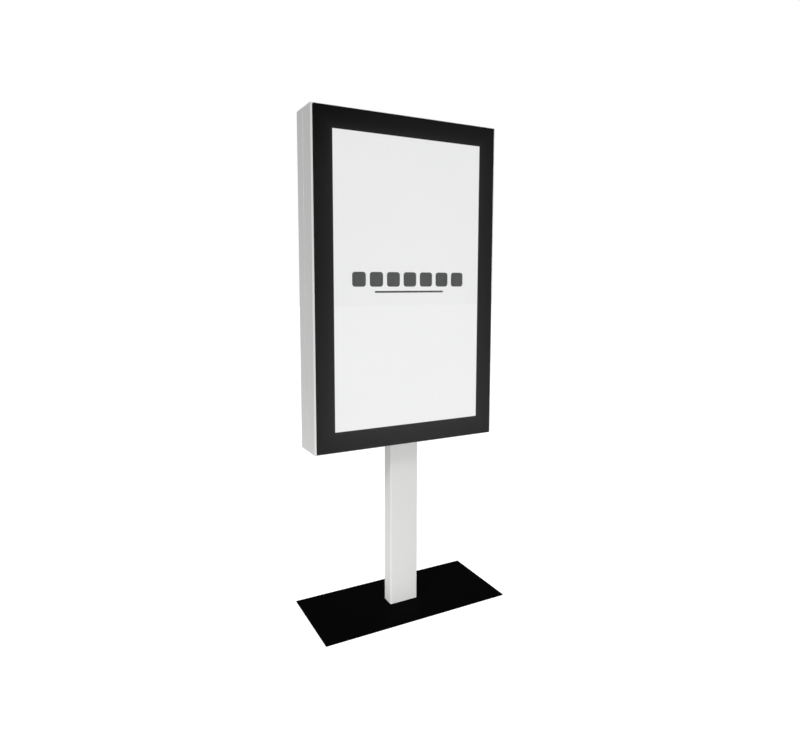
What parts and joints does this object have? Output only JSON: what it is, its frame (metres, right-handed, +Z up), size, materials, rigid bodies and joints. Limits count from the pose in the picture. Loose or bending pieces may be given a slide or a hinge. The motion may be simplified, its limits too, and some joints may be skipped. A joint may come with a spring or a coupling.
{
  "type": "touchscreen kiosk",
  "caption": "Free-standing touchscreen kiosk: portrait display head with black glass front and white housing on a slim column and flat base plate, with rear service door.",
  "frame": {"origin": "on the floor under the centre of the base plate", "axes": "+Z up, -Y is the way the glass faces, +X to the viewer's right"},
  "size_m": [0.78, 0.34, 1.9032],
  "materials": {
    "base_black": "fine satin black powder coat",
    "white_paint": "fine satin white powder coat",
    "black_paint": "satin black powder coat",
    "cover_glass": "clear polished toughened glass",
    "border_print": "black screen print behind glass",
    "touch_film": "clear sensor glass",
    "tape": "black foam mounting tape",
    "screen": "lit display with a light picture",
    "acrylic": "clear acrylic light guide",
    "zinc_steel": "zinc-plated sheet steel",
    "fastener": "zinc-plated steel",
    "hinge_steel": "satin stainless steel",
    "lock_metal": "nickel-plated die casting",
    "rubber": "black moulded rubber",
    "foam": "dark open-cell foam",
    "black_plastic": "black moulded plastic",
    "player_alloy": "dark anodised aluminium",
    "circuit": "green printed circuit board with dark chips",
    "led_board": "white lamp strips",
    "lead_jacket": "black flexible jacket"
  },
  "bodies": {
    "kiosk": {"base_pads": "rubber", "base_plate": "base_black", "base_screws": "fastener", "bezel_frame": "black_paint", "cable_grommet": "rubber", "column_bolts": "fastener", "column_cap": "black_plastic", "column_foot": "zinc_steel", "column_tube": "white_paint", "crossbars": "zinc_steel", "display_board": "circuit", "display_lead": "lead_jacket", "equipment_plates": "zinc_steel", "fan_guards": "black_paint", "fan_housings": "black_plastic", "frame_brackets": "zinc_steel", "frame_screws": "fastener", "front_frame": "white_paint", "front_glass": "cover_glass", "glass_border": "border_print", "glass_tape": "tape", "hinge_frame_leaves": "hinge_steel", "hinge_pins": "hinge_steel", "housing_screws": "fastener", "inlet_bracket": "zinc_steel", "lcd_cell": "screen", "lcd_chassis": "zinc_steel", "led_strips": "led_board", "light_guide": "acrylic", "mains_inlet": "black_plastic", "mains_lead": "lead_jacket", "network_coupler": "black_plastic", "player_case": "player_alloy", "player_lid": "player_alloy", "power_supply_board": "circuit", "power_supply_case": "zinc_steel", "power_supply_lid": "zinc_steel", "rear_housing": "white_paint", "seam_gasket": "foam", "spacers": "fastener", "supply_lead": "lead_jacket", "switch_body": "black_plastic", "touch_controller": "circuit", "touch_lead": "lead_jacket", "touch_sensor": "touch_film", "uprights": "zinc_steel"},
    "door": {"service_door": "white_paint", "hinge_door_leaves": "hinge_steel", "hinge_door_screws": "fastener", "lock_bodies": "lock_metal", "intake_filter": "foam", "filter_frame": "black_paint"},
    "lock_lower": {"lock_lower_core": "lock_metal", "lock_lower_cam": "lock_metal"},
    "lock_upper": {"lock_upper_core": "lock_metal", "lock_upper_cam": "lock_metal"},
    "fan_left": {"fan_left_rotor": "black_plastic"},
    "fan_right": {"fan_right_rotor": "black_plastic"},
    "rocker": {"switch_rocker": "black_plastic"},
    "power_button": {"player_button": "black_plastic"}
  },
  "joints": [
    {"name": "door_swing", "type": "hinge", "parent": "kiosk", "child": "door", "pos_m": [0.283, 0.0855, 1.196], "axis": [0, 0, -1], "range_deg": [0, 110]},
    {"name": "lock_lower_turn", "type": "hinge", "parent": "door", "child": "lock_lower", "pos_m": [-0.254, 0.07, 0.976], "axis": [0, 1, 0], "range_deg": [0, 90]},
    {"name": "lock_upper_turn", "type": "hinge", "parent": "door", "child": "lock_upper", "pos_m": [-0.254, 0.07, 1.416], "axis": [0, 1, 0], "range_deg": [0, 90]},
    {"name": "fan_left_spin", "type": "hinge", "parent": "kiosk", "child": "fan_left", "pos_m": [-0.12, 0.066, 1.766], "axis": [0, 1, 0], "continuous": true},
    {"name": "fan_right_spin", "type": "hinge", "parent": "kiosk", "child": "fan_right", "pos_m": [0.12, 0.066, 1.766], "axis": [0, 1, 0], "continuous": true},
    {"name": "rocker_tilt", "type": "hinge", "parent": "kiosk", "child": "rocker", "pos_m": [-0.185, 0.021, 0.816], "axis": [1, 0, 0], "range_deg": [-16, 0]},
    {"name": "button_press", "type": "slide", "parent": "kiosk", "child": "power_button", "axis": [0, 0, -1], "range_m": [0, 0.0012], "stiffness_N_per_m": 600}
  ]
}
